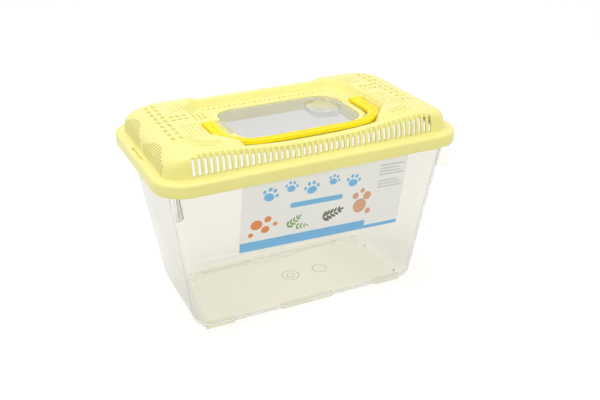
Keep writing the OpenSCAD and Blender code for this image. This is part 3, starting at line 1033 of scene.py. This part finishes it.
def peach_print(bm):
    spots(bm, ((29.5, -7.5, 11), (34.8, 0.5, 6.5), (25.0, 1.8, 5), (30.3, 5.6, 3.8), (37.2, -13.5, 4.6)),
          1.12)


def slate_print(bm):
    """Two groups of dotted rows, four above and three below."""
    for row in range(7):
        for column in range(9 - (row * 5) % 3):
            spot(bm, 43.5 + column * 2.3, 24.5 - row * 2.6 - (3 if row > 3 else 0), 1.3, 1.0, 0, 8)


# ---- Make the object ----

make_tank()
make_lid()
make_hatch()
make_handle()
label_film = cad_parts["label"]
label_film.data.materials.clear()
label_film.data.materials.append(LABEL_FILM)
for ink, draw in (("sky", sky_print), ("orange", orange_print), ("green", green_print),
                  ("olive", olive_print), ("peach", peach_print), ("slate", slate_print)):
    print_piece(ink, draw)

# ---- Stage, light and camera ----

STUDIO_FILL = 0.6
STUDIO_DIM = 0.3


def white_ground(name, strength, color):
    """Pale ground that shows near white to the lens, gloss and clear plastic, and keeps shadows."""
    material, tree, shader = new_material(name)
    feed(tree, color, shader.inputs["Base Color"])
    shader.inputs["Roughness"].default_value = 0.9
    path = add(tree, "ShaderNodeLightPath").outputs
    shown = calculate(tree, "MAXIMUM", path["Is Camera Ray"], path["Is Glossy Ray"])
    shown = calculate(tree, "MAXIMUM", shown, path["Is Transmission Ray"])
    feed(tree, (1, 1, 1), shader.inputs["Emission Color"])
    feed(tree, calculate(tree, "MULTIPLY", shown, strength), shader.inputs["Emission Strength"])
    return material


def make_floor():
    floor = solid("floor", lambda bm: bmesh.ops.create_grid(bm, x_segments=2, y_segments=2, size=3000))
    floor.data.materials.append(white_ground("pale_floor", 0.55, (0.6, 0.6, 0.6)))


def make_world():
    """White studio with a dimmer side behind the lens, which gloss and clear plastic show."""
    world = bpy.data.worlds.new("studio")
    scene.world = world
    world.use_nodes = True
    tree = world.node_tree
    path = add(tree, "ShaderNodeLightPath").outputs
    facing = add(tree, "ShaderNodeVectorMath", operation="DOT_PRODUCT")
    facing.inputs[1].default_value = Vector((-0.25, -0.95, 0.1)).normalized()
    feed(tree, add(tree, "ShaderNodeTexCoord").outputs["Generated"], facing.inputs[0])
    mirror = add(tree, "ShaderNodeMix", data_type="FLOAT")
    feed(tree, calculate(tree, "MAXIMUM", path["Is Glossy Ray"], path["Is Transmission Ray"]),
         mirror.inputs["Factor"])
    feed(tree, STUDIO_FILL, mirror.inputs["A"])
    dim = ramp(tree, facing.outputs["Value"], -0.1, 0.7, 1.0, STUDIO_DIM, smooth=True)
    feed(tree, dim, mirror.inputs["B"])
    level = calculate(tree, "MAXIMUM", mirror.outputs["Result"], path["Is Camera Ray"])
    ground = tree.nodes["Background"].inputs
    feed(tree, (1, 1, 1), ground["Color"])
    feed(tree, level, ground["Strength"])


def area_lamp(name, place, target, size, power):
    lamp = bpy.data.lights.new(name, "AREA")
    lamp.shape = "DISK"
    lamp.size = size
    lamp.energy = power
    holder = bpy.data.objects.new(name, lamp)
    scene.collection.objects.link(holder)
    holder.location = place
    holder.rotation_mode = "QUATERNION"
    holder.rotation_quaternion = (Vector(target) - Vector(place)).to_track_quat("-Z", "Y")


def make_camera():
    """Camera at the viewing angle, given by its place and its right, up and back directions."""
    lens = bpy.data.cameras.new("view")
    lens.lens = 50.308
    lens.sensor_width = 36
    lens.clip_start = 0.01
    lens.clip_end = 50
    holder = bpy.data.objects.new("view", lens)
    scene.collection.objects.link(holder)
    right = Vector((0.90426, -0.42683, -0.01115))
    up = Vector((0.19474, 0.38904, 0.90040))
    back = right.cross(up)
    turn = Matrix((right, up, back)).transposed()
    holder.matrix_world = Matrix.Translation(Vector((-241.969, -546.320, 361.992)) * MM) @ turn.to_4x4()
    scene.camera = holder


make_floor()
make_world()
middle = (0, 0, 0.08)
area_lamp("top_softbox", (-0.1, 0.12, 1.1), middle, 0.9, 4.6)
area_lamp("left_softbox", (-1.1, -0.15, 0.55), middle, 0.8, 2.4)
area_lamp("front_softbox", (0.45, -1.15, 0.6), middle, 0.8, 3.6)
make_camera()
scene.view_settings.view_transform = "Standard"
